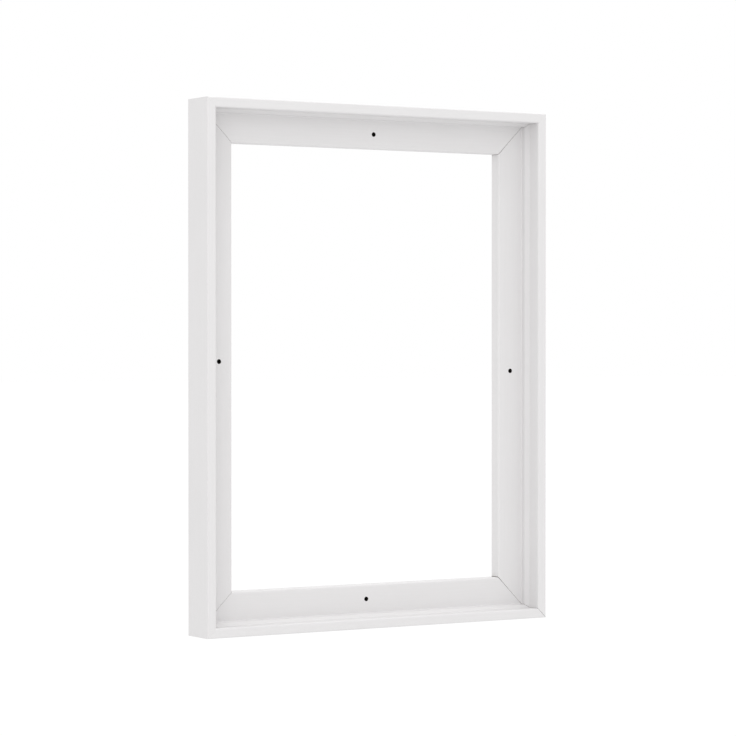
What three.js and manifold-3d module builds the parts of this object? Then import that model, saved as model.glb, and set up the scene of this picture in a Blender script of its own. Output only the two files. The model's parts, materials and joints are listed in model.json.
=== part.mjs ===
// A floater frame: an open wall frame that a stretched canvas is screwed into from behind, so
// that it seems to float inside the lip. Four mitred L-section rails are held together by
// V-nails driven in from the back, and two strap hangers with swinging D-rings hang it.
//
// Millimetres. +X is right and +Z is up as the frame hangs, and -Y is the front. The origin is
// the middle of the frame's underside.
import * as THREE from 'three';
import { mergeVertices } from 'three/addons/utils/BufferGeometryUtils.js';
import Module from 'manifold-3d';

const wasm = await Module();
wasm.setup();

// ---- Driving dimensions ----------------------------------------------------------------------

// The frame takes its outer size from the canvas that it is made for.
const CANVAS_WIDTH = 300;
const CANVAS_HEIGHT = 400;
const SHADOW_GAP = 5; // between the canvas and the lip, all round
const LIP_WIDTH = 8; // the front edge of a rail

// Rail section: a wall behind the lip, and at the back a ledge for the canvas to rest on.
const RAIL_DEPTH = 32;
const RAIL_WIDTH = 34;
const LEDGE_THICKNESS = 10.6;
const STEP_WIDTH = 2.3; // by which the wall is thicker next to the ledge
const STEP_START = 12.8; // depths behind the lip between which the wall thickens
const STEP_END = 17;
const STEP_EASING_RADIUS = 1.5;
const OUTER_EDGE_RADIUS = 0.9;
const LIP_EDGE_RADIUS = 1.2;
const COVE_RADIUS = 1.8; // where the wall meets the ledge
const LEDGE_EDGE_RADIUS = 1.5;
const BACK_EDGE_RADIUS = 0.5;

// One clearance hole through the ledge of each rail, for a screw into the canvas's bars.
const SCREW_HOLE_DIAMETER = 3.6;
// How far each is from the rail's middle, clockwise seen from the front.
const SCREW_HOLE_SHIFTS = { bottom: 2.9, left: 4.8, top: 4.3, right: 4.2 };

// V-nails: bent steel strip, two across each mitre.
const V_NAIL_LEG = 6;
const V_NAIL_CURL = 0.7;
const V_NAIL_THICKNESS = 0.8;
const V_NAIL_HEIGHT = 7;
const V_NAIL_SUNK = 0.4; // below the back face
const V_NAIL_INSETS = { outer: 9, inner: 21 }; // from the frame's two outer faces

// Hangers: a strip of sheet steel folded round the straight bar of a D-ring.
const HANGER_DROP = 136; // from the top of the frame to the ring's bar
const STRAP_WIDTH = 10;
const STRAP_LENGTH = 33; // from the ring's bar to the end of the strap
const STRAP_SHEET = 0.9;
const STRAP_CORNER_RADIUS = 3.5;
const RING_WIRE_RADIUS = 1.2;
const RING_BAR = 15; // the D's straight side, between its bends
const RING_WIDTH = 19.6; // at the widest, between the middles of the wire
const RING_DROP = 16; // from the bar to the far side
const RING_SHOULDER_DROP = 3.4; // from the bar to where the ring is widest
const RING_TILT = 4; // degrees out from the wall, as it lies on the strap
const STRAP_SCREW_DROPS = { upper: 8.4, lower: 27 }; // below the ring's bar

// Pan-head screws that hold the straps.
const SCREW_LENGTH = 9.5;
const SCREW_RADIUS = 1.7;
const SCREW_TIP = 3;
const SCREW_HEAD_RADIUS = 3.2;
const SCREW_HEAD_HEIGHT = 2;
const RECESS_LENGTH = 3.4;
const RECESS_WIDTH = 0.8;
const RECESS_DEPTH = 1.1;

// Domed bumpers on the back of the bottom rail keep it off the wall.
const BUMPER_RADIUS = 5.5;
const BUMPER_HEIGHT = 3;
const BUMPER_EDGE = 0.8; // the height of its straight rim
const BUMPER_INSET = 48; // from the frame's side to the bumper's middle

const GAP = 0.3; // between pieces that touch
const OVERSHOOT = 1; // by which a cutting tool runs past what it cuts
const ARC_SEGMENTS = 5; // in each rounded edge of a section
const ROUND_SEGMENTS = 24; // round a hole, screw or bumper
const RING_SEGMENTS = 56; // along a D-ring's wire
const WIRE_SEGMENTS = 10; // round it

// ---- Sizes that follow ---------------------------------------------------------------------------

const FRAME_WIDTH = CANVAS_WIDTH + 2 * (SHADOW_GAP + LIP_WIDTH);
const FRAME_HEIGHT = CANVAS_HEIGHT + 2 * (SHADOW_GAP + LIP_WIDTH);
const FRONT = -RAIL_DEPTH / 2;
const BACK = RAIL_DEPTH / 2;
const LEDGE = BACK - LEDGE_THICKNESS;
const LEDGE_MIDDLE = (LIP_WIDTH + STEP_WIDTH + RAIL_WIDTH) / 2;
const EYE_RADIUS = RING_WIRE_RADIUS + GAP + STRAP_SHEET / 2; // of the middle of the sheet
const EYE_DEPTH = BACK + GAP + STRAP_SHEET / 2 + EYE_RADIUS;
const STRAP_THICKNESS = 2 * STRAP_SHEET + GAP;
const STRAP_FACE = BACK + GAP + STRAP_THICKNESS;

// ---- Materials -------------------------------------------------------------------------------------

const lacquer = () => new THREE.MeshStandardMaterial({ color: 0xf1f0ee, roughness: 0.42 });
const steel = () => new THREE.MeshStandardMaterial({ color: 0x9a9c9f, roughness: 0.35, metalness: 1 });
const zinc = () => new THREE.MeshStandardMaterial({ color: 0xc4c6c8, roughness: 0.3, metalness: 1 });
const rubber = () => new THREE.MeshStandardMaterial({ color: 0x3a3a3b, roughness: 0.75 });

// ---- Solids ------------------------------------------------------------------------------------------

/** A solid to join and cut, from a closed geometry. */
function solidOf(geometry) {
  geometry.deleteAttribute('normal');
  geometry.deleteAttribute('uv');
  const merged = mergeVertices(geometry, 1e-4);
  const mesh = new wasm.Mesh({
    numProp: 3,
    vertProperties: Float32Array.from(merged.attributes.position.array),
    triVerts: Uint32Array.from(merged.index.array),
  });
  return new wasm.Manifold(mesh);
}

/** A geometry from a solid. */
function geometryOf(solid) {
  const { vertProperties, triVerts } = solid.getMesh();
  const geometry = new THREE.BufferGeometry();
  geometry.setAttribute('position', new THREE.BufferAttribute(vertProperties, 3));
  geometry.setIndex(new THREE.BufferAttribute(triVerts, 1));
  geometry.computeVertexNormals();
  return geometry;
}

/** An outline through corners given as [x, y, radius], each rounded to its radius. */
function roundedShape(corners) {
  const shape = new THREE.Shape();
  const count = corners.length;
  corners.forEach(([x, y, radius], i) => {
    const corner = new THREE.Vector2(x, y);
    const [before, after] = [i + count - 1, i + 1].map((k) => {
      const [nextX, nextY] = corners[k % count];
      return new THREE.Vector2(nextX, nextY).sub(corner).normalize();
    });
    const half = before.angleTo(after) / 2;
    const reach = radius / Math.tan(half);
    const start = before.clone().multiplyScalar(reach).add(corner);
    const end = after.clone().multiplyScalar(reach).add(corner);
    const inward = before.clone().add(after).normalize();
    const centre = inward.multiplyScalar(radius / Math.sin(half)).add(corner);
    const angleOf = (point) => Math.atan2(point.y - centre.y, point.x - centre.x);
    const turnsRight = before.cross(after) > 0;
    if (i === 0) shape.moveTo(start.x, start.y);
    else shape.lineTo(start.x, start.y);
    shape.absarc(centre.x, centre.y, radius, angleOf(start), angleOf(end), turnsRight);
  });
  return shape;
}

/** The outline of a strip of an even thickness that follows a line of points. */
function stripShape(points, thickness) {
  const directions = points.slice(1).map((point, i) => point.clone().sub(points[i]).normalize());
  const offsets = points.map((_, i) => {
    const before = directions[Math.max(i - 1, 0)];
    const after = directions[Math.min(i, directions.length - 1)];
    const along = before.clone().add(after).normalize();
    const reach = thickness / 2 / along.dot(after);
    return new THREE.Vector2(-along.y, along.x).multiplyScalar(reach);
  });
  const left = points.map((point, i) => point.clone().add(offsets[i]));
  const right = points.map((point, i) => point.clone().sub(offsets[i]));
  return new THREE.Shape([...right, ...left.reverse()]);
}

/** An outline drawn in (y, z), extruded along X. */
function extrudeX(shape, from, to, curveSegments = ARC_SEGMENTS) {
  const geometry = new THREE.ExtrudeGeometry(shape, {
    depth: to - from,
    bevelEnabled: false,
    curveSegments,
  });
  const axes = new THREE.Matrix4().makeBasis(
    new THREE.Vector3(0, 1, 0),
    new THREE.Vector3(0, 0, 1),
    new THREE.Vector3(1, 0, 0),
  );
  return geometry.applyMatrix4(axes).translate(from, 0, 0);
}

/** An outline drawn in (x, z), extruded along Y. */
function extrudeY(shape, from, to, curveSegments = ARC_SEGMENTS) {
  const geometry = new THREE.ExtrudeGeometry(shape, {
    depth: to - from,
    bevelEnabled: false,
    curveSegments,
  });
  return geometry.rotateX(Math.PI / 2).translate(0, to, 0);
}

/** A round bar along Y. */
function barY(radius, from, to, x = 0, z = 0) {
  const geometry = new THREE.CylinderGeometry(radius, radius, to - from, ROUND_SEGMENTS);
  return geometry.translate(x, (from + to) / 2, z);
}

// ---- Rails -------------------------------------------------------------------------------------------
// A rail is made as the bottom one lies: its length along X, its outer face down, and the
// middle of the frame at the origin. The others are turned clockwise round the middle.

/** The rail's section in (y, z), with its outer face at z = 0. */
function railSection() {
  const wall = LIP_WIDTH;
  const thickWall = LIP_WIDTH + STEP_WIDTH;
  return roundedShape([
    [FRONT, 0, OUTER_EDGE_RADIUS],
    [BACK, 0, BACK_EDGE_RADIUS],
    [BACK, RAIL_WIDTH, BACK_EDGE_RADIUS],
    [LEDGE, RAIL_WIDTH, LEDGE_EDGE_RADIUS],
    [LEDGE, thickWall, COVE_RADIUS],
    [FRONT + STEP_END, thickWall, STEP_EASING_RADIUS],
    [FRONT + STEP_START, wall, STEP_EASING_RADIUS],
    [FRONT, wall, LIP_EDGE_RADIUS],
  ]);
}

/** The line that a V-nail's strip follows in (x, z), with the frame's corner at the origin. */
function vNailLine(inset, extra = 0) {
  const leg = V_NAIL_LEG;
  const curl = V_NAIL_CURL + extra;
  const end = inset + leg;
  return [
    new THREE.Vector2(end + curl, inset + curl),
    new THREE.Vector2(end, inset),
    new THREE.Vector2(inset, inset),
    new THREE.Vector2(inset, end),
    new THREE.Vector2(inset + curl, end + curl),
  ];
}

/** What is cut out of both ends of a rail for the V-nails, at the corner on its left. */
function vNailSlot(inset) {
  const shape = stripShape(vNailLine(inset, GAP), V_NAIL_THICKNESS + 2 * GAP);
  const bottom = BACK - V_NAIL_SUNK - V_NAIL_HEIGHT - GAP;
  return solidOf(extrudeY(shape, bottom, BACK + OVERSHOOT));
}

/**
 * One rail of an outer length, lying at `reach` below the frame's middle. Its canvas hole is
 * `holeShift` to the left of its middle, and its pilot holes are at places along X.
 */
function railGeometry(length, reach, holeShift, pilotHoles = []) {
  const bar = extrudeX(railSection(), -length / 2, length / 2);
  let rail = solidOf(bar.translate(0, 0, -reach));

  const low = -reach - OVERSHOOT;
  const high = -reach + RAIL_WIDTH + OVERSHOOT;
  const mitre = (z) => length / 2 - (z + reach) - GAP / Math.SQRT2;
  const kept = new THREE.Shape([
    new THREE.Vector2(-mitre(low), low),
    new THREE.Vector2(mitre(low), low),
    new THREE.Vector2(mitre(high), high),
    new THREE.Vector2(-mitre(high), high),
  ]);
  rail = rail.intersect(solidOf(extrudeY(kept, FRONT - OVERSHOOT, BACK + OVERSHOOT)));

  const hole = barY(
    SCREW_HOLE_DIAMETER / 2, LEDGE - OVERSHOOT, BACK + OVERSHOOT,
    -holeShift, -reach + LEDGE_MIDDLE,
  );
  rail = rail.subtract(solidOf(hole));

  for (const inset of Object.values(V_NAIL_INSETS)) {
    const slot = vNailSlot(inset).translate([-length / 2, 0, -reach]);
    rail = rail.subtract(slot).subtract(slot.mirror([1, 0, 0]));
  }
  for (const along of pilotHoles) {
    const depth = SCREW_LENGTH - STRAP_THICKNESS;
    const pilot = barY(
      SCREW_RADIUS + GAP, BACK - depth, BACK + OVERSHOOT, along, -reach + RAIL_WIDTH / 2,
    );
    rail = rail.subtract(solidOf(pilot));
  }
  return geometryOf(rail);
}

// ---- Fixings and hangers -------------------------------------------------------------------------

/** A V-nail, with the frame's corner at the origin. */
function vNailGeometry(inset) {
  const shape = stripShape(vNailLine(inset), V_NAIL_THICKNESS);
  const top = BACK - V_NAIL_SUNK;
  return extrudeY(shape, top - V_NAIL_HEIGHT, top);
}

/** A strap with the ring's bar at the origin, folded round it. */
function strapGeometry() {
  const backLayer = -EYE_RADIUS;
  const frontLayer = backLayer + STRAP_SHEET + GAP;
  const foldEnd = -Math.PI / 3;
  const fold = [];
  for (let i = 0; i <= ROUND_SEGMENTS / 2; i += 1) {
    const angle = THREE.MathUtils.lerp(Math.PI, foldEnd, i / (ROUND_SEGMENTS / 2));
    fold.push(new THREE.Vector2(Math.cos(angle), Math.sin(angle)).multiplyScalar(EYE_RADIUS));
  }
  const last = fold.at(-1);
  const run = (last.x - frontLayer) / Math.sin(-foldEnd);
  const line = [
    new THREE.Vector2(backLayer, -STRAP_LENGTH),
    ...fold,
    new THREE.Vector2(frontLayer, last.y - run * Math.cos(foldEnd)),
    new THREE.Vector2(frontLayer, -STRAP_LENGTH),
  ];
  const folded = extrudeX(stripShape(line, STRAP_SHEET), -STRAP_WIDTH / 2, STRAP_WIDTH / 2);

  const side = STRAP_WIDTH / 2;
  const top = EYE_RADIUS + STRAP_SHEET + OVERSHOOT;
  const plan = roundedShape([
    [-side, -STRAP_LENGTH, STRAP_CORNER_RADIUS],
    [side, -STRAP_LENGTH, STRAP_CORNER_RADIUS],
    [side, top, OVERSHOOT / 2],
    [-side, top, OVERSHOOT / 2],
  ]);
  const reach = EYE_RADIUS + STRAP_SHEET + OVERSHOOT;
  let strap = solidOf(folded).intersect(solidOf(extrudeY(plan, -reach, reach)));
  for (const drop of Object.values(STRAP_SCREW_DROPS)) {
    strap = strap.subtract(solidOf(barY(SCREW_RADIUS + GAP, -reach, reach, 0, -drop)));
  }
  return geometryOf(strap);
}

/** A D-ring hanging from the origin, its straight bar along X. */
function ringGeometry() {
  const bar = RING_BAR / 2;
  const wide = RING_WIDTH / 2;
  const low = -RING_DROP;
  const shoulder = -RING_SHOULDER_DROP;
  // The curves' handles: past the bar, above the shoulder and below it.
  const pastBar = bar + 1.5;
  const above = shoulder + 2;
  const below = low * 0.72;
  const at = (x, z) => new THREE.Vector3(x, 0, z);
  const curve = (...points) => new THREE.CubicBezierCurve3(...points);
  const path = new THREE.CurvePath();
  path.add(new THREE.LineCurve3(at(-bar, 0), at(bar, 0)));
  path.add(curve(at(bar, 0), at(pastBar, 0), at(wide, above), at(wide, shoulder)));
  path.add(curve(at(wide, shoulder), at(wide, below), at(wide / 2, low), at(0, low)));
  path.add(curve(at(0, low), at(-wide / 2, low), at(-wide, below), at(-wide, shoulder)));
  path.add(curve(at(-wide, shoulder), at(-wide, above), at(-pastBar, 0), at(-bar, 0)));
  return new THREE.TubeGeometry(path, RING_SEGMENTS, RING_WIRE_RADIUS, WIRE_SEGMENTS, true);
}

/** A pan-head screw pointing to -Y, with the underside of its head at the origin. */
function screwGeometry() {
  const profile = [
    new THREE.Vector2(0, -SCREW_LENGTH),
    new THREE.Vector2(SCREW_RADIUS, SCREW_TIP - SCREW_LENGTH),
    new THREE.Vector2(SCREW_RADIUS, 0),
    new THREE.Vector2(SCREW_HEAD_RADIUS, 0),
    new THREE.Vector2(SCREW_HEAD_RADIUS, SCREW_HEAD_HEIGHT * 0.35),
    new THREE.Vector2(SCREW_HEAD_RADIUS * 0.85, SCREW_HEAD_HEIGHT * 0.75),
    new THREE.Vector2(SCREW_HEAD_RADIUS * 0.5, SCREW_HEAD_HEIGHT),
    new THREE.Vector2(0, SCREW_HEAD_HEIGHT),
  ];
  let screw = solidOf(new THREE.LatheGeometry(profile, ROUND_SEGMENTS));
  const depth = RECESS_DEPTH + OVERSHOOT;
  const middle = SCREW_HEAD_HEIGHT - RECESS_DEPTH + depth / 2;
  for (const [across, along] of [[RECESS_LENGTH, RECESS_WIDTH], [RECESS_WIDTH, RECESS_LENGTH]]) {
    const cut = new THREE.BoxGeometry(across, depth, along).translate(0, middle, 0);
    screw = screw.subtract(solidOf(cut));
  }
  return geometryOf(screw);
}

/** A domed bumper on a flat base at the origin, pointing to +Y. */
function bumperGeometry() {
  const profile = [new THREE.Vector2(0, 0), new THREE.Vector2(BUMPER_RADIUS, 0)];
  for (let i = 0; i <= ARC_SEGMENTS; i += 1) {
    const angle = (i / ARC_SEGMENTS) * (Math.PI / 2);
    const radius = i === ARC_SEGMENTS ? 0 : BUMPER_RADIUS * Math.cos(angle);
    profile.push(new THREE.Vector2(radius, BUMPER_EDGE + (BUMPER_HEIGHT - BUMPER_EDGE) * Math.sin(angle)));
  }
  return new THREE.LatheGeometry(profile, ROUND_SEGMENTS);
}

// ---- Assembly --------------------------------------------------------------------------------------

function named(name, geometry, material) {
  const mesh = new THREE.Mesh(geometry, material);
  mesh.name = name;
  return mesh;
}

const frame = new THREE.Group();

// Rails and V-nails, round the middle of the frame.
const middle = new THREE.Group();
middle.position.z = FRAME_HEIGHT / 2;
frame.add(middle);

// Along a side rail as it is made, X runs down the left rail and up the right one.
const strapScrewHeights = Object.values(STRAP_SCREW_DROPS).map(
  (drop) => FRAME_HEIGHT / 2 - HANGER_DROP - drop,
);
const sides = [
  { rail: 'bottom', corner: 'bottom_left', length: FRAME_WIDTH, across: FRAME_HEIGHT },
  {
    rail: 'left',
    corner: 'top_left',
    length: FRAME_HEIGHT,
    across: FRAME_WIDTH,
    pilotHoles: strapScrewHeights.map((height) => -height),
  },
  { rail: 'top', corner: 'top_right', length: FRAME_WIDTH, across: FRAME_HEIGHT },
  {
    rail: 'right',
    corner: 'bottom_right',
    length: FRAME_HEIGHT,
    across: FRAME_WIDTH,
    pilotHoles: strapScrewHeights,
  },
];
sides.forEach(({ rail, corner, length, across, pilotHoles }, i) => {
  const side = new THREE.Group();
  side.rotation.y = (i * Math.PI) / 2;
  const bar = railGeometry(length, across / 2, SCREW_HOLE_SHIFTS[rail], pilotHoles);
  side.add(named(`${rail}_rail`, bar, lacquer()));
  for (const [place, inset] of Object.entries(V_NAIL_INSETS)) {
    const nail = named(`v_nail_${corner}_${place}`, vNailGeometry(inset), steel());
    nail.position.set(-length / 2, 0, -across / 2);
    side.add(nail);
  }
  middle.add(side);
});

// Hangers on the two side rails, and bumpers on the bottom one.
for (const [hand, sign] of [['left', -1], ['right', 1]]) {
  const hanger = new THREE.Group();
  const x = sign * (FRAME_WIDTH / 2 - RAIL_WIDTH / 2);
  hanger.position.set(x, EYE_DEPTH, FRAME_HEIGHT - HANGER_DROP);
  hanger.add(named(`${hand}_hanger_strap`, strapGeometry(), zinc()));

  const ring = named(`${hand}_hanger_ring`, ringGeometry(), zinc());
  ring.rotation.x = THREE.MathUtils.degToRad(RING_TILT);
  hanger.add(ring);

  for (const [place, drop] of Object.entries(STRAP_SCREW_DROPS)) {
    const screw = named(`${hand}_hanger_screw_${place}`, screwGeometry(), zinc());
    screw.position.set(0, STRAP_FACE + GAP - EYE_DEPTH, -drop);
    hanger.add(screw);
  }
  frame.add(hanger);

  const bumper = named(`${hand}_bumper`, bumperGeometry(), rubber());
  bumper.position.set(sign * (FRAME_WIDTH / 2 - BUMPER_INSET), BACK + GAP, RAIL_WIDTH / 2);
  frame.add(bumper);
}

export default frame;
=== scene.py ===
"""The looks of a white floater frame: lacquered rails, V-nails, strap hangers and bumpers.

Metres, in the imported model's frame: +X right, +Z up and -Y the front. The origin is the middle
of the frame's underside.
"""

import json
import math

import bmesh
import bpy
from mathutils import Matrix, Vector
from mathutils.geometry import interpolate_bezier


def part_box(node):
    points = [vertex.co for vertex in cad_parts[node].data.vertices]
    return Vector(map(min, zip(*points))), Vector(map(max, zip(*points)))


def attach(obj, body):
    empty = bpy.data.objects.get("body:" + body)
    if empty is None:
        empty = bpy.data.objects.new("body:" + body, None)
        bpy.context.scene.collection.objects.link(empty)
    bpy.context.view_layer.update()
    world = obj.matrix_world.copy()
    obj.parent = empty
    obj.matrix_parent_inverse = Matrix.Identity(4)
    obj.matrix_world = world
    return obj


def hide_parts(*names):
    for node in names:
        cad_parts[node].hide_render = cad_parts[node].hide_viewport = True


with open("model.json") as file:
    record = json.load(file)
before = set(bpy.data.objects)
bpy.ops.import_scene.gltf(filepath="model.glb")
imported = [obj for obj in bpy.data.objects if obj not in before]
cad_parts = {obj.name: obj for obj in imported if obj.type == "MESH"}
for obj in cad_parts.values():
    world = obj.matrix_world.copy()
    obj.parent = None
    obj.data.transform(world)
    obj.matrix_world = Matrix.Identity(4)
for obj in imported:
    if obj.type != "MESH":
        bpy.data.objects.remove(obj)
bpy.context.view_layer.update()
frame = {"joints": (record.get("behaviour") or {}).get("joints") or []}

MM = 0.001

# ---- Sizes from the frame --------------------------------------------------------------------

LEFT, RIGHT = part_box("left_rail")[0].x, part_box("right_rail")[1].x
BOTTOM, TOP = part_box("bottom_rail")[0].z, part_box("top_rail")[1].z
FRONT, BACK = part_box("bottom_rail")[0].y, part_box("bottom_rail")[1].y
WIDTH = RIGHT - LEFT
HEIGHT = TOP - BOTTOM
RAIL_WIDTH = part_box("bottom_rail")[1].z - BOTTOM
MIDDLE = Vector(((LEFT + RIGHT) / 2, 0, (BOTTOM + TOP) / 2))
HINGES = {joint["child"]: Vector(joint["pos_m"]) for joint in frame["joints"]}

# ---- Sizes that the CAD model has too ----------------------------------------------------------

LIP = 8 * MM
STEP = 2.3 * MM
STEP_START = FRONT + 12.8 * MM
STEP_END = FRONT + 17 * MM
LEDGE = BACK - 10.6 * MM
STEP_EASING_RADIUS = 1.5 * MM
OUTER_EDGE_RADIUS = 0.9 * MM
LIP_EDGE_RADIUS = 1.2 * MM
LEDGE_EDGE_RADIUS = 1.5 * MM
BACK_EDGE_RADIUS = 0.5 * MM
LEDGE_MIDDLE = (LIP + STEP + RAIL_WIDTH) / 2
HOLE_RADIUS = 1.8 * MM
HOLE_SHIFTS = (2.9 * MM, 4.8 * MM, 4.3 * MM, 4.2 * MM)  # bottom, left, top, right

NAIL_INSETS = {"outer": 9 * MM, "inner": 21 * MM}
NAIL_LEG = 6 * MM
NAIL_CURL = 0.7 * MM
NAIL_SHEET = 0.8 * MM
NAIL_HEIGHT = 7 * MM
NAIL_SUNK = 0.4 * MM

STRAP_WIDTH = 10 * MM
STRAP_LENGTH = 33 * MM
STRAP_SHEET = 0.9 * MM
STRAP_CORNER_RADIUS = 3.5 * MM
STRAP_DROPS = {"upper": 8.4 * MM, "lower": 27 * MM}
WIRE_RADIUS = 1.2 * MM
RING_BAR = 15 * MM
RING_WIDTH = 19.6 * MM
RING_DROP = 16 * MM
RING_SHOULDER_DROP = 3.4 * MM
RING_TILT = math.radians(4)
GAP = 0.3 * MM
EYE_RADIUS = WIRE_RADIUS + GAP + STRAP_SHEET / 2

SCREW_LENGTH = 9.5 * MM
SCREW_RADIUS = 1.7 * MM
SCREW_TIP = 3 * MM
SCREW_HEAD_RADIUS = 3.2 * MM
SCREW_HEAD_HEIGHT = 2 * MM

BUMPER_RADIUS = 5.5 * MM
BUMPER_HEIGHT = 3 * MM

# ---- Sizes that only the visual model has ------------------------------------------------------

COVE_RADIUS = 0.9 * MM  # where the wall meets the ledge
TIGHT_CRACK = 0.006 * MM  # a mitre's half width where it is closed
SCREW_HOLE_DEPTH = 8 * MM
SCREW_ROOT = SCREW_RADIUS * 0.72
THREAD_PITCH = 1.35 * MM
THREAD_TOP = 0.7 * MM  # how far under the head the thread ends
RECESS_ARM = 1.75 * MM
RECESS_HALF_WIDTH = 0.36 * MM
RECESS_DEPTH = 1.15 * MM
PAD_HEIGHT = 0.3 * MM  # the adhesive under a bumper
BUMPER_EDGE = 0.9 * MM  # the height of its straight rim, pad included


# ---- Camera ------------------------------------------------------------------------------------

CAMERA_TURN = -31.95  # degrees round Z: the camera stands to the left of the frame
CAMERA_PITCH = -0.58
CAMERA_LENS = 136.9
CAMERA_PLACE = Vector((-0.029, -0.002, 5.357)) * HEIGHT  # from the middle of the frame's front


def make_camera():
    data = bpy.data.cameras.new("camera")
    data.sensor_width = 36
    data.lens = CAMERA_LENS
    data.clip_start = 0.05
    data.clip_end = 60
    camera = bpy.data.objects.new("camera", data)
    bpy.context.scene.collection.objects.link(camera)
    turn = Matrix.Rotation(math.radians(CAMERA_TURN), 3, "Z")
    tilt = Matrix.Rotation(math.radians(90 + CAMERA_PITCH), 3, "X")
    axes = turn @ tilt
    camera.location = MIDDLE + Vector((0, FRONT, 0)) + axes @ CAMERA_PLACE
    camera.rotation_euler = axes.to_euler()
    bpy.context.scene.camera = camera


make_camera()


# ---- Outlines and meshes -----------------------------------------------------------------------

def rounded(corners, segments, margin=0.0):
    """Points of an outline through corners (x, y, radius), each rounded to its radius.

    A margin adds a point that far before and after each rounded corner.
    """
    points = []
    count = len(corners)
    for i, (x, y, radius) in enumerate(corners):
        corner = Vector((x, y))
        before = (Vector(corners[i - 1][:2]) - corner).normalized()
        after = (Vector(corners[(i + 1) % count][:2]) - corner).normalized()
        half = before.angle(after) / 2
        reach = radius / math.tan(half)
        centre = corner + (before + after).normalized() * (radius / math.sin(half))
        start = corner + before * reach - centre
        end = corner + after * reach - centre
        turn = math.atan2(start.x * end.y - start.y * end.x, start.dot(end))
        if margin:
            points.append(corner + before * (reach + margin))
        for k in range(segments + 1):
            points.append(centre + Matrix.Rotation(turn * k / segments, 2) @ start)
        if margin:
            points.append(corner + after * (reach + margin))
    return points


def strip(line, thickness):
    """The outline of a strip of an even thickness that follows a line of points."""
    ways = [(b - a).normalized() for a, b in zip(line, line[1:])]
    left, right = [], []
    for i, point in enumerate(line):
        before = ways[max(i - 1, 0)]
        after = ways[min(i, len(ways) - 1)]
        along = (before + after).normalized()
        side = Vector((-along.y, along.x)) * (thickness / 2 / along.dot(after))
        left.append(point + side)
        right.append(point - side)
    return right + left[::-1]


def prism(outline, low, high, place):
    """A closed bmesh: an outline of 2D points drawn out from low to high by place(u, v, w)."""
    bm = bmesh.new()
    ends = [[bm.verts.new(place(p.x, p.y, w)) for p in outline] for w in (low, high)]
    bm.faces.new(ends[0][::-1])
    bm.faces.new(ends[1])
    count = len(outline)
    for i in range(count):
        j = (i + 1) % count
        bm.faces.new((ends[0][i], ends[0][j], ends[1][j], ends[1][i]))
    bmesh.ops.recalc_face_normals(bm, faces=bm.faces)
    return bm


def lathe(profile, segments, place):
    """A closed bmesh: a profile of (radius, height) that starts and ends on the axis."""
    bm = bmesh.new()
    rings = []
    for radius, height in profile:
        if radius == 0:
            rings.append([bm.verts.new(place(0, 0, height))])
            continue
        turns = [2 * math.pi * k / segments for k in range(segments)]
        rings.append([
            bm.verts.new(place(radius * math.cos(t), radius * math.sin(t), height)) for t in turns
        ])
    for a, b in zip(rings, rings[1:]):
        for k in range(segments):
            around = (k, (k + 1) % segments)
            lower = [a[i] for i in around] if len(a) > 1 else [a[0]]
            upper = [b[i] for i in reversed(around)] if len(b) > 1 else [b[0]]
            bm.faces.new(lower + upper)
    bmesh.ops.recalc_face_normals(bm, faces=bm.faces)
    return bm


def finished(name, bm, materials, smooth_angle=35):
    """An object from a bmesh, smooth but for its sharp edges."""
    mesh = bpy.data.meshes.new(name)
    bm.to_mesh(mesh)
    bm.free()
    for material in materials:
        mesh.materials.append(material)
    mesh.polygons.foreach_set("use_smooth", [True] * len(mesh.polygons))
    mesh.set_sharp_from_angle(angle=math.radians(smooth_angle))
    made = bpy.data.objects.new(name, mesh)
    bpy.context.scene.collection.objects.link(made)
    return made


def with_modifiers_applied(target):
    """Puts the mesh that target's modifiers make in place of its own, and removes them."""
    depsgraph = bpy.context.evaluated_depsgraph_get()
    mesh = bpy.data.meshes.new_from_object(target.evaluated_get(depsgraph))
    target.modifiers.clear()
    target.data = mesh
    return target


def cut(target, cutters):
    """Cuts the cutters out of target. The cut faces get the cutters' materials."""
    for cutter in cutters:
        modifier = target.modifiers.new("cut", "BOOLEAN")
        modifier.operation = "DIFFERENCE"
        modifier.solver = "EXACT"
        modifier.material_mode = "TRANSFER"
        modifier.object = cutter
    with_modifiers_applied(target)
    for cutter in cutters:
        bpy.data.objects.remove(cutter)
    return target


def eased(target, width, segments=2, angle=35):
    """Rounds the edges of target that are sharper than an angle."""
    modifier = target.modifiers.new("ease", "BEVEL")
    modifier.width = width
    modifier.segments = segments
    modifier.limit_method = "ANGLE"
    modifier.angle_limit = math.radians(angle)
    modifier.harden_normals = False
    return with_modifiers_applied(target)


def even_shading(target, smooth_angle=35):
    """Keeps flat faces flat beside small rounded edges."""
    mesh = target.data
    mesh.polygons.foreach_set("use_smooth", [True] * len(mesh.polygons))
    mesh.set_sharp_from_angle(angle=math.radians(smooth_angle))
    modifier = target.modifiers.new("weight", "WEIGHTED_NORMAL")
    modifier.keep_sharp = True
    modifier.weight = 100
    return with_modifiers_applied(target)


def as_piece(piece, body, slot, *nodes):
    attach(piece, body)
    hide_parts(*nodes)
    return piece


# ---- Materials ---------------------------------------------------------------------------------

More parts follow.
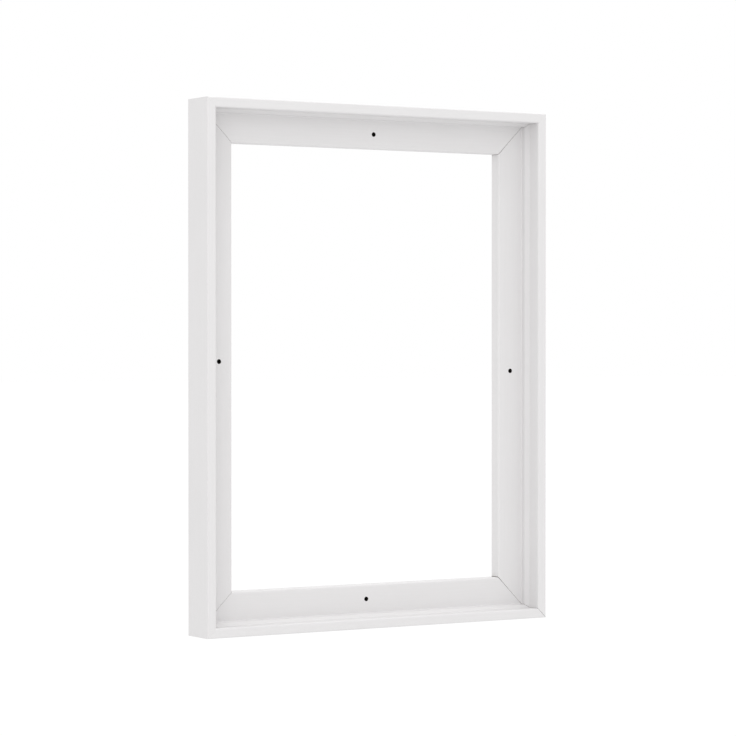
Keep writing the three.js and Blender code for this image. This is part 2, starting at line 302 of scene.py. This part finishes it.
class Shader:
    """A material's nodes, made and linked by short calls."""

    def __init__(self, name):
        self.material = bpy.data.materials.new(name)
        self.material.use_nodes = True
        self.tree = self.material.node_tree
        self.surface = self.tree.nodes["Principled BSDF"]

    def node(self, kind, inputs=None, **settings):
        made = self.tree.nodes.new(kind)
        for key, value in settings.items():
            setattr(made, key, value)
        for key, value in (inputs or {}).items():
            self.put(made, key, value)
        return made

    def put(self, node, key, value):
        """Sets an input socket, or links it to an output socket."""
        if isinstance(value, bpy.types.NodeSocket):
            self.tree.links.new(value, node.inputs[key])
        else:
            node.inputs[key].default_value = value

    def set(self, **inputs):
        for key, value in inputs.items():
            self.put(self.surface, key.replace("_", " "), value)

    def attribute(self, name):
        return self.node("ShaderNodeAttribute", attribute_name=name).outputs["Vector"]

    def position(self):
        return self.node("ShaderNodeTexCoord").outputs["Object"]

    def scaled(self, vector, scale):
        made = self.node("ShaderNodeMapping", {"Vector": vector, "Scale": scale})
        return made.outputs["Vector"]

    def noise(self, vector, scale, detail=3.0, roughness=0.5, distortion=0.0):
        made = self.node("ShaderNodeTexNoise", {
            "Vector": vector, "Scale": scale, "Detail": detail, "Roughness": roughness,
            "Distortion": distortion,
        })
        return made.outputs["Fac"]

    def ramp(self, value, low, high, to_low=0.0, to_high=1.0, smooth=True):
        """Maps value from low..high to to_low..to_high, and no further."""
        kind = "SMOOTHSTEP" if smooth else "LINEAR"
        made = self.node("ShaderNodeMapRange", {
            "Value": value, "From Min": low, "From Max": high, "To Min": to_low, "To Max": to_high,
        }, interpolation_type=kind)
        return made.outputs["Result"]

    def math(self, operation, a, b=0.0):
        return self.node("ShaderNodeMath", {0: a, 1: b}, operation=operation).outputs[0]

    def mix(self, factor, a, b):
        made = self.node("ShaderNodeMix", data_type="RGBA")
        self.put(made, 0, factor)
        # The node has sockets for numbers and vectors too. These are the ones for colours.
        for socket, value in ((6, a), (7, b)):
            colour = value if isinstance(value, bpy.types.NodeSocket) else (*value, 1)
            self.put(made, socket, colour)
        return made.outputs[2]

    def component(self, vector, axis):
        return self.node("ShaderNodeSeparateXYZ", {"Vector": vector}).outputs[axis]

    def bump(self, height, distance, strength=1.0, normal=None):
        inputs = {"Height": height, "Distance": distance, "Strength": strength}
        if normal is not None:
            inputs["Normal"] = normal
        return self.node("ShaderNodeBump", inputs).outputs["Normal"]


# Each rail carries a point attribute "grain": how far along it, how far in from its outer face,
# and how far behind the front, all in metres. The textures of the wood run along it.
GRAIN = "grain"


def lacquer():
    """Sprayed white satin lacquer, with the wood's pores just showing through along the rail."""
    s = Shader("white_lacquer")
    grain = s.attribute(GRAIN)
    pores = s.noise(s.scaled(grain, (26, 900, 900)), 1.0, 4, 0.6)
    cloud = s.noise(grain, 14, 2)
    peel = s.noise(grain, 620, 2, 0.45)
    white = s.mix(cloud, (0.682, 0.672, 0.674), (0.710, 0.700, 0.703))
    white = s.mix(s.ramp(pores, 0.3, 0.75, 0.0, 0.12), white, (0.60, 0.594, 0.582))
    roughness = s.ramp(peel, 0.3, 0.7, 0.52, 0.62)
    relief = s.bump(pores, 0.02 * MM, 0.5)
    relief = s.bump(peel, 0.03 * MM, 0.6, relief)
    s.set(Base_Color=white, Roughness=roughness, Normal=relief)
    s.set(IOR=1.45, Specular_IOR_Level=0.3)
    return s.material


def bare_wood():
    """The unlacquered back: pale planed wood, with lacquer that crept over its edges."""
    s = Shader("bare_wood")
    grain = s.attribute(GRAIN)
    across = s.component(grain, 1)
    rings = s.noise(s.scaled(grain, (5, 190, 190)), 1.0, 3, 0.55, 0.6)
    fibres = s.noise(s.scaled(grain, (60, 1500, 1500)), 1.0, 4, 0.6)
    wood = s.mix(s.ramp(rings, 0.32, 0.68), (0.60, 0.44, 0.285), (0.72, 0.575, 0.405))
    wood = s.mix(s.ramp(fibres, 0.35, 0.8, 0.0, 0.45), wood, (0.47, 0.32, 0.19))
    ragged = s.noise(s.scaled(grain, (110, 110, 110)), 1.0, 4, 0.65)
    creep = s.math("MULTIPLY", s.math("SUBTRACT", ragged, 0.5), 3.2 * MM)
    from_outside = s.math("ADD", across, creep)
    from_inside = s.math("ADD", s.math("SUBTRACT", RAIL_WIDTH, across), creep)
    nearest = s.math("MINIMUM", from_outside, from_inside)
    bare = s.ramp(nearest, 0.9 * MM, 2.2 * MM)
    s.set(Base_Color=s.mix(bare, (0.696, 0.686, 0.689), wood))
    s.set(Roughness=s.ramp(bare, 0, 1, 0.5, 0.78), IOR=1.45)
    s.set(Normal=s.bump(fibres, 0.05 * MM, 0.7))
    return s.material


def mitre_face_painted_shade():
    """A sawn mitre, coloured dark brown as painted shade in the crack between two rails."""
    s = Shader("mitre_face_painted_shade")
    speckle = s.noise(s.position(), 900, 3)
    s.set(Base_Color=s.mix(speckle, (0.10, 0.075, 0.055), (0.22, 0.17, 0.125)), Roughness=0.9)
    return s.material


def cut_wall_painted_shade():
    """The wall of a drilled hole or nail slot, coloured near black as painted shade, and rough."""
    s = Shader("cut_wall_painted_shade")
    speckle = s.noise(s.position(), 1400, 3)
    s.set(Base_Color=s.mix(speckle, (0.006, 0.005, 0.004), (0.022, 0.018, 0.015)), Roughness=0.95)
    s.set(Specular_IOR_Level=0.15)
    return s.material


def metal(name, dark, light, roughness, brushed=(300, 300, 300)):
    """Plated or rolled steel, faintly mottled, with fine scratches."""
    s = Shader(name)
    place = s.position()
    mottle = s.noise(place, 420, 3)
    scratches = s.noise(s.scaled(place, brushed), 6.0, 3, 0.6)
    s.set(Base_Color=s.mix(mottle, dark, light), Metallic=1.0)
    s.set(Roughness=s.ramp(scratches, 0.3, 0.7, roughness - 0.07, roughness + 0.1))
    s.set(Normal=s.bump(scratches, 0.01 * MM, 0.4))
    return s.material


def rubber():
    """Dark moulded rubber with a fine matt texture and a little dust."""
    s = Shader("bumper_rubber")
    place = s.position()
    texture = s.noise(place, 3200, 2)
    dust = s.noise(place, 260, 4, 0.65)
    colour = s.mix(s.ramp(dust, 0.45, 0.75, 0.0, 0.5), (0.028, 0.028, 0.03), (0.075, 0.073, 0.07))
    s.set(Base_Color=colour, Roughness=s.ramp(dust, 0.3, 0.7, 0.55, 0.75))
    s.set(Normal=s.bump(texture, 0.03 * MM, 0.6))
    return s.material


def adhesive():
    """The foam adhesive under a bumper."""
    s = Shader("adhesive_foam")
    cells = s.noise(s.position(), 2600, 3)
    s.set(Base_Color=s.mix(cells, (0.42, 0.41, 0.38), (0.6, 0.59, 0.56)), Roughness=0.85)
    s.set(Normal=s.bump(cells, 0.05 * MM, 0.7))
    return s.material


LACQUER = lacquer()
BARE_WOOD = bare_wood()
MITRE_FACE_PAINTED_SHADE = mitre_face_painted_shade()
CUT_WALL_PAINTED_SHADE = cut_wall_painted_shade()
ZINC = metal("zinc_plate", (0.50, 0.51, 0.53), (0.63, 0.64, 0.65), 0.3)
NAIL_STEEL = metal("nail_steel", (0.36, 0.36, 0.37), (0.5, 0.5, 0.51), 0.38)
RUBBER = rubber()
ADHESIVE = adhesive()


# ---- Rails -------------------------------------------------------------------------------------
# As in the CAD model, a rail is made as the bottom one lies and turned clockwise round the
# middle of the frame: quarter turns 0 to 3 give the bottom, left, top and right rails.

RAILS = ("bottom", "left", "top", "right")

# No mitre closes perfectly. The width of the crack at each corner, in mm: on the lip, on the wall
# behind it, across the ledge and on the inner edge. Each corner is at the left of its rail.
CRACKS = {
    "bottom_left": (0.012, 0.10, 0.20, 0.14),
    "top_left": (0.012, 0.12, 0.22, 0.12),
    "top_right": (0.012, 0.13, 0.32, 0.28),
    "bottom_right": (0.21, 0.20, 0.12, 0.60),
}
CORNERS = tuple(CRACKS)


def rail_size(quarter):
    """The rail's outer length and the distance of its outer face from the middle."""
    return (WIDTH, HEIGHT / 2) if quarter % 2 == 0 else (HEIGHT, WIDTH / 2)


def turned(quarter):
    """From a rail as it is made to where it belongs."""
    return Matrix.Translation(MIDDLE) @ Matrix.Rotation(quarter * math.pi / 2, 4, "Y")


def rail_section():
    """The section as points (how far in from the outer face, y)."""
    thick = LIP + STEP
    return rounded([
        (0, FRONT, OUTER_EDGE_RADIUS),
        (LIP, FRONT, LIP_EDGE_RADIUS),
        (LIP, STEP_START, STEP_EASING_RADIUS),
        (thick, STEP_END, STEP_EASING_RADIUS),
        (thick, LEDGE, COVE_RADIUS),
        (RAIL_WIDTH, LEDGE, LEDGE_EDGE_RADIUS),
        (RAIL_WIDTH, BACK, BACK_EDGE_RADIUS),
        (0, BACK, BACK_EDGE_RADIUS),
    ], segments=7, margin=0.15 * MM)


def share(value, length):
    """How much of a length a value is, between none and all of it."""
    return min(max(value / length, 0), 1)


def crack_at(corner, inset, y):
    """Half of a mitre's crack at a place on the section.

    It changes over the first 4 mm behind the lip, the first 5 mm of the ledge and its last 3 mm.
    """
    lip, wall, ledge, inner = CRACKS[corner]
    if inset < LIP - 1 * MM and y > FRONT + 1 * MM:
        return TIGHT_CRACK  # on the outside
    width = lip + (wall - lip) * share(y - FRONT, 4 * MM)
    width += (ledge - width) * share(inset - LIP - STEP, 5 * MM)
    width += (inner - width) * share(inset - RAIL_WIDTH + 3 * MM, 3 * MM)
    return width / 2 * MM


def rail_blank(quarter):
    """A rail before anything is drilled, mitred at both ends."""
    length, reach = rail_size(quarter)
    section = rail_section()
    corners = CORNERS[quarter], CORNERS[quarter - 1]
    place = turned(quarter)
    materials = [LACQUER, BARE_WOOD, MITRE_FACE_PAINTED_SHADE]
    steps = 16
    bm = bmesh.new()
    rings = []
    for k in range(steps + 1):
        ring = []
        for inset, y in section:
            cracks = [crack_at(corner, inset, y) * math.sqrt(2) for corner in corners]
            low = -length / 2 + inset + cracks[0]
            high = length / 2 - inset - cracks[1]
            x = low + (high - low) * k / steps
            ring.append(bm.verts.new(place @ Vector((x, y, inset - reach))))
        rings.append(ring)
    for end in (rings[0], rings[-1][::-1]):
        # The mitre ends are coloured dark brown: painted shade in the crack.
        bm.faces.new(end).material_index = materials.index(MITRE_FACE_PAINTED_SHADE)
    count = len(section)
    on_back = [abs(y - BACK) < 0.02 * MM for _, y in section]
    for a, b in zip(rings, rings[1:]):
        for i in range(count):
            j = (i + 1) % count
            face = bm.faces.new((a[i], b[i], b[j], a[j]))
            bare = on_back[i] and on_back[j]
            face.material_index = materials.index(BARE_WOOD if bare else LACQUER)
    bmesh.ops.recalc_face_normals(bm, faces=bm.faces)
    bmesh.ops.triangulate(bm, faces=[f for f in bm.faces if len(f.verts) > 4])
    return finished(RAILS[quarter] + "_rail_lacquered", bm, materials)


def hole_cutter(quarter, along, inset, radius, low, high, rim):
    """A drill from y = low to high, whose mouths flare by rim."""
    _, reach = rail_size(quarter)
    place = turned(quarter)
    over = 1 * MM
    profile = [
        (0, low - over),
        (radius + rim + over, low - over),
        (radius + rim, low),
        (radius, low + rim),
        (radius, high - rim),
        (radius + rim, high),
        (radius + rim + over, high + over),
        (0, high + over),
    ]
    bm = lathe(profile, 40, lambda u, v, w: place @ Vector((along + u, w, inset - reach + v)))
    # The hole's wall takes a near-black colour: painted shade inside the hole.
    return finished("cutter", bm, [CUT_WALL_PAINTED_SHADE])


def nail_line(inset, extra=0.0):
    """The line of a V-nail's strip, with the frame's corner at the origin."""
    end = inset + NAIL_LEG
    curl = NAIL_CURL + extra
    return [
        Vector((end + curl, inset + curl)),
        Vector((end, inset)),
        Vector((inset, inset)),
        Vector((inset, end)),
        Vector((inset + curl, end + curl)),
    ]


def nail_prism(quarter, mirrored, inset, sheet, extra, low, high):
    length, reach = rail_size(quarter)
    place = turned(quarter)
    side = -1 if mirrored else 1

    def corner(u, v, w):
        return place @ Vector((side * (u - length / 2), w, v - reach))

    return prism(strip(nail_line(inset, extra), sheet), low, high, corner)


def nail_cutter(quarter, mirrored, inset):
    clearance = 0.05 * MM
    low = BACK - NAIL_SUNK - NAIL_HEIGHT - clearance
    bm = nail_prism(
        quarter, mirrored, inset, NAIL_SHEET + 2 * clearance, clearance, low, BACK + 1 * MM
    )
    # The slot's walls take a near-black colour: painted shade inside the slot.
    return finished("cutter", bm, [CUT_WALL_PAINTED_SHADE])


def mark_grain(piece, quarter):
    """Gives every point its place along, across and through the rail."""
    _, reach = rail_size(quarter)
    back = turned(quarter).inverted()
    shift = 0.9 * quarter  # so that no two rails are alike
    attribute = piece.data.attributes.new(GRAIN, "FLOAT_VECTOR", "POINT")
    values = []
    for vertex in piece.data.vertices:
        x, y, z = back @ vertex.co
        values.extend((x + shift, z + reach, y - FRONT))
    attribute.data.foreach_set("vector", values)


def make_rail(quarter):
    rail = rail_blank(quarter)
    cutters = [
        hole_cutter(
            quarter, -HOLE_SHIFTS[quarter], LEDGE_MIDDLE, HOLE_RADIUS, LEDGE, BACK, 0.12 * MM
        )
    ]
    for inset in NAIL_INSETS.values():
        cutters.append(nail_cutter(quarter, False, inset))
        cutters.append(nail_cutter(quarter, True, inset))
    if quarter % 2:
        downwards = 1 if quarter == 1 else -1
        hinge = HINGES[RAILS[quarter] + "_ring"]
        for drop in STRAP_DROPS.values():
            along = downwards * (MIDDLE.z - (hinge.z - drop))
            cutters.append(hole_cutter(
                quarter, along, RAIL_WIDTH / 2, SCREW_RADIUS + 0.1 * MM,
                BACK - SCREW_HOLE_DEPTH, BACK, 0.05 * MM,
            ))
    cut(rail, cutters)
    mark_grain(rail, quarter)
    even_shading(rail)
    as_piece(rail, "frame", "white_lacquer", RAILS[quarter] + "_rail")


for quarter in range(4):
    make_rail(quarter)


# ---- V-nails -----------------------------------------------------------------------------------

def make_nail(quarter, place_name, inset):
    top = BACK - NAIL_SUNK
    bm = nail_prism(quarter, False, inset, NAIL_SHEET, 0.0, top - NAIL_HEIGHT, top)
    node = f"v_nail_{CORNERS[quarter]}_{place_name}"
    nail = eased(finished(node + "_strip", bm, [NAIL_STEEL]), 0.12 * MM)
    as_piece(even_shading(nail), "frame", "nail_steel", node)


for quarter in range(4):
    for place_name, inset in NAIL_INSETS.items():
        make_nail(quarter, place_name, inset)


# ---- Hangers -----------------------------------------------------------------------------------
# The sheets and screws lie on each other and on the wood. The eye stays on the hinge's axis.

BACK_LAYER = BACK + STRAP_SHEET / 2
FRONT_LAYER = BACK_LAYER + STRAP_SHEET + 0.03 * MM
SCREW_SEAT = FRONT_LAYER + STRAP_SHEET / 2


def bezier(a, b, c, d, count):
    """Points of a Bezier curve, without its first one."""
    return [Vector(p) for p in interpolate_bezier(a, b, c, d, count + 1)][1:]


def strap_line(hinge):
    """The line of the folded sheet in (y, z) from the eye's axis, up the back and down the front."""
    back = BACK_LAYER - hinge.y
    front = FRONT_LAYER - hinge.y
    fold_end = -math.pi / 3
    turns = [math.pi + (fold_end - math.pi) * k / 24 for k in range(25)]
    fold = [Vector((math.cos(t), math.sin(t))) * EYE_RADIUS for t in turns]
    neck = Vector((math.sin(fold_end), -math.cos(fold_end))) * (1.7 * MM)
    up = bezier(
        Vector((back, -4.5 * MM)), Vector((back, -3 * MM)),
        Vector((-EYE_RADIUS, -2 * MM)), fold[0], 8,
    )
    down = bezier(
        fold[-1], fold[-1] + neck, Vector((front, -3.2 * MM)), Vector((front, -5 * MM)), 10
    )
    start = [Vector((back, -STRAP_LENGTH)), Vector((back, -4.5 * MM))]
    return start + up + fold[1:] + down + [Vector((front, -STRAP_LENGTH))]


def make_strap(hand, hinge):
    """A strip of sheet folded round the ring's bar, with a round end and two screw holes."""
    bm = prism(
        strip(strap_line(hinge), STRAP_SHEET), -STRAP_WIDTH / 2, STRAP_WIDTH / 2,
        lambda u, v, w: hinge + Vector((w, u, v)),
    )
    strap = finished(hand + "_hanger_strap_folded", bm, [ZINC])
    side = STRAP_WIDTH / 2 + 0.01 * MM
    reach = 6 * MM
    plan = rounded([
        (-side, -STRAP_LENGTH + 0.01 * MM, STRAP_CORNER_RADIUS),
        (side, -STRAP_LENGTH + 0.01 * MM, STRAP_CORNER_RADIUS),
        (side, reach, 0.5 * MM),
        (-side, reach, 0.5 * MM),
    ], 12)
    outline = finished(
        "plan", prism(plan, -reach, reach, lambda u, v, w: hinge + Vector((u, w, v))), [ZINC]
    )
    modifier = strap.modifiers.new("plan", "BOOLEAN")
    modifier.operation = "INTERSECT"
    modifier.solver = "EXACT"
    modifier.object = outline
    with_modifiers_applied(strap)
    bpy.data.objects.remove(outline)
    drills = []
    for drop in STRAP_DROPS.values():
        radius = SCREW_RADIUS + 0.25 * MM
        bm = lathe(
            [(0, -reach), (radius, -reach), (radius, reach), (0, reach)], 32,
            lambda u, v, w, d=drop: hinge + Vector((u, w, v - d)),
        )
        drills.append(finished("drill", bm, [ZINC]))
    cut(strap, drills)
    as_piece(even_shading(eased(strap, 0.14 * MM)), "frame", "zinc_plate", hand + "_hanger_strap")


def ring_path():
    """The closed path of the D-ring's wire in (x, z), its straight bar first."""
    bar = RING_BAR / 2
    wide = RING_WIDTH / 2
    shoulder = Vector((wide, -RING_SHOULDER_DROP))
    bottom = Vector((0, -RING_DROP))
    bend = bezier(
        Vector((bar, 0)), Vector((bar + 1.5 * MM, 0)), Vector((wide, -1.4 * MM)), shoulder, 12
    )
    bow = bezier(
        shoulder, Vector((wide, -RING_DROP * 0.72)), Vector((wide / 2, -RING_DROP)), bottom, 28
    )
    half = [Vector((bar * k / 6, 0)) for k in range(7)] + bend + bow
    mirrored = [Vector((-p.x, p.y)) for p in half[1:-1]]
    return half + mirrored[::-1]


def make_ring(hand, hinge):
    path = ring_path()
    tilt = Matrix.Rotation(RING_TILT, 3, "X")
    out = tilt @ Vector((0, 1, 0))
    sides = 20
    bm = bmesh.new()
    rings = []
    count = len(path)
    for i, point in enumerate(path):
        along = (path[(i + 1) % count] - path[i - 1]).normalized()
        middle = hinge + tilt @ Vector((point.x, 0, point.y))
        across = tilt @ Vector((along.y, 0, -along.x))
        turns = [2 * math.pi * k / sides for k in range(sides)]
        rings.append([
            bm.verts.new(middle + (across * math.cos(t) + out * math.sin(t)) * WIRE_RADIUS)
            for t in turns
        ])
    for i in range(count):
        a, b = rings[i], rings[(i + 1) % count]
        for k in range(sides):
            j = (k + 1) % sides
            bm.faces.new((a[k], a[j], b[j], b[k]))
    bmesh.ops.recalc_face_normals(bm, faces=bm.faces)
    ring = finished(hand + "_hanger_ring_bent", bm, [ZINC], 60)
    as_piece(ring, hand + "_ring", "zinc_plate", hand + "_hanger_ring")


def screw_profile():
    """A pan-head screw from its tip to the top of its head, as (radius, height)."""
    side = 0.7 * MM
    flat = 1.5 * MM
    profile = [(0, -SCREW_LENGTH)]
    steps = 72
    for k in range(1, steps + 1):
        height = -SCREW_LENGTH + (SCREW_LENGTH - 0.6 * MM) * k / steps
        taper = min((height + SCREW_LENGTH) / SCREW_TIP, 1)
        profile.append((SCREW_ROOT * taper, height))
    profile.append((SCREW_ROOT, 0))
    profile += [(SCREW_HEAD_RADIUS - 0.12 * MM, 0), (SCREW_HEAD_RADIUS, 0.12 * MM)]
    for k in range(13):
        turn = math.pi / 2 * k / 12
        radius = flat + (SCREW_HEAD_RADIUS - flat) * math.cos(turn)
        profile.append((radius, side + (SCREW_HEAD_HEIGHT - side) * math.sin(turn)))
    return profile + [(0, SCREW_HEAD_HEIGHT)]


def threaded(u, v, w):
    """Moves a point of the shank out to the crest where the thread passes."""
    radius = math.hypot(u, v)
    if w > -THREAD_TOP or radius < 0.05 * MM:
        return u, v
    phase = (w / THREAD_PITCH - math.atan2(v, u) / (2 * math.pi)) % 1
    ridge = max(0, 1 - abs(phase - 0.5) / 0.22)
    taper = min((w + SCREW_LENGTH) / SCREW_TIP, 1)
    scale = 1 + ridge * taper * (SCREW_RADIUS / SCREW_ROOT - 1)
    return u * scale, v * scale


def make_screw(node, seat, turn):
    """A pan-head screw with a cross recess, pointing into the wood from its seat."""
    def place(u, v, w):
        across, along = threaded(u, v, w)
        return seat + Matrix.Rotation(turn, 3, "Y") @ Vector((across, w, along))

    screw = finished(node + "_pan_head", lathe(screw_profile(), 40, place), [ZINC])
    arm, half = RECESS_ARM, RECESS_HALF_WIDTH
    cross = [
        (half, half), (half, arm), (-half, arm), (-half, half), (-arm, half), (-arm, -half),
        (-half, -half), (-half, -arm), (half, -arm), (half, -half), (arm, -half), (arm, half),
    ]
    bottom, top = SCREW_HEAD_HEIGHT - RECESS_DEPTH, SCREW_HEAD_HEIGHT + 0.3 * MM

    def tapered(u, v, w):
        scale = 1 if w == top else 0.42
        return seat + Matrix.Rotation(turn, 3, "Y") @ Vector((u * scale, w, v * scale))

    recess = prism([Vector(p) for p in cross], bottom, top, tapered)
    cut(screw, [finished("recess", recess, [ZINC])])
    as_piece(even_shading(screw), "frame", "zinc_plate", node)


SCREW_TURNS = {
    "left_hanger_screw_upper": 0.35,
    "left_hanger_screw_lower": 1.2,
    "right_hanger_screw_upper": 0.8,
    "right_hanger_screw_lower": 0.1,
}
for hand in ("left", "right"):
    hinge = HINGES[hand + "_ring"]
    make_strap(hand, hinge)
    make_ring(hand, hinge)
    for name, drop in STRAP_DROPS.items():
        node = f"{hand}_hanger_screw_{name}"
        make_screw(node, Vector((hinge.x, SCREW_SEAT, hinge.z - drop)), SCREW_TURNS[node])


# ---- Bumpers -----------------------------------------------------------------------------------

def make_bumper(node):
    """A domed bumper on its thin adhesive pad."""
    low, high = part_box(node)
    seat = Vector(((low.x + high.x) / 2, BACK, (low.z + high.z) / 2))
    profile = [
        (0, 0),
        (BUMPER_RADIUS - 0.25 * MM, 0),
        (BUMPER_RADIUS - 0.25 * MM, PAD_HEIGHT),
        (BUMPER_RADIUS - 0.12 * MM, PAD_HEIGHT),
        (BUMPER_RADIUS, PAD_HEIGHT + 0.12 * MM),
    ]
    for k in range(19):
        turn = math.pi / 2 * k / 18
        radius = BUMPER_RADIUS * math.cos(turn) if k < 18 else 0
        profile.append((radius, BUMPER_EDGE + (BUMPER_HEIGHT - BUMPER_EDGE) * math.sin(turn)))
    bm = lathe(profile, 48, lambda u, v, w: seat + Vector((u, w, v)))
    materials = [RUBBER, ADHESIVE]
    for face in bm.faces:
        if face.calc_center_median().y < BACK + PAD_HEIGHT * 0.9:
            face.material_index = materials.index(ADHESIVE)
    bumper = finished(node + "_dome", bm, materials)
    as_piece(bumper, "frame", "bumper_rubber", node)


for hand in ("left", "right"):
    make_bumper(hand + "_bumper")


# ---- Stage and light -----------------------------------------------------------------------------

def make_floor():
    bm = bmesh.new()
    size = 12
    corners = [(-size, -size), (size, -size), (size, size), (-size, size)]
    bm.faces.new([bm.verts.new((x, y, BOTTOM - 0.01 * MM)) for x, y in corners])
    s = Shader("floor")
    s.set(Base_Color=(0.05, 0.05, 0.05, 1), Roughness=0.9, Emission_Color=(1, 1, 1, 1))
    s.set(Emission_Strength=0.97, Specular_IOR_Level=0.0)
    finished("floor", bm, [s.material])


def make_world():
    world = bpy.data.worlds.new("studio")
    world.use_nodes = True
    background = world.node_tree.nodes["Background"]
    background.inputs["Color"].default_value = (1, 1, 1, 1)
    background.inputs["Strength"].default_value = 1.0
    bpy.context.scene.world = world


def make_light(name, place, size, power):
    data = bpy.data.lights.new(name, "AREA")
    data.shape = "SQUARE"
    data.size = size
    data.energy = power
    light = bpy.data.objects.new(name, data)
    light.location = place
    light.rotation_euler = (MIDDLE - Vector(place)).to_track_quat("-Z", "Y").to_euler()
    bpy.context.scene.collection.objects.link(light)


make_floor()
make_world()
make_light("key", (-2.2, -2.2, 1.1), 1.4, 8.5)
make_light("key_high", (-1.6, -1.8, 2.2), 1.4, 4)
make_light("fill", (0.2, -3.0, 0.4), 1.4, 4.5)
make_light("top", (0, -0.3, 2.8), 1.6, 19)
make_light("rim", (0, 1.8, 2.2), 1.6, 4)
bpy.context.scene.view_settings.view_transform = "Standard"
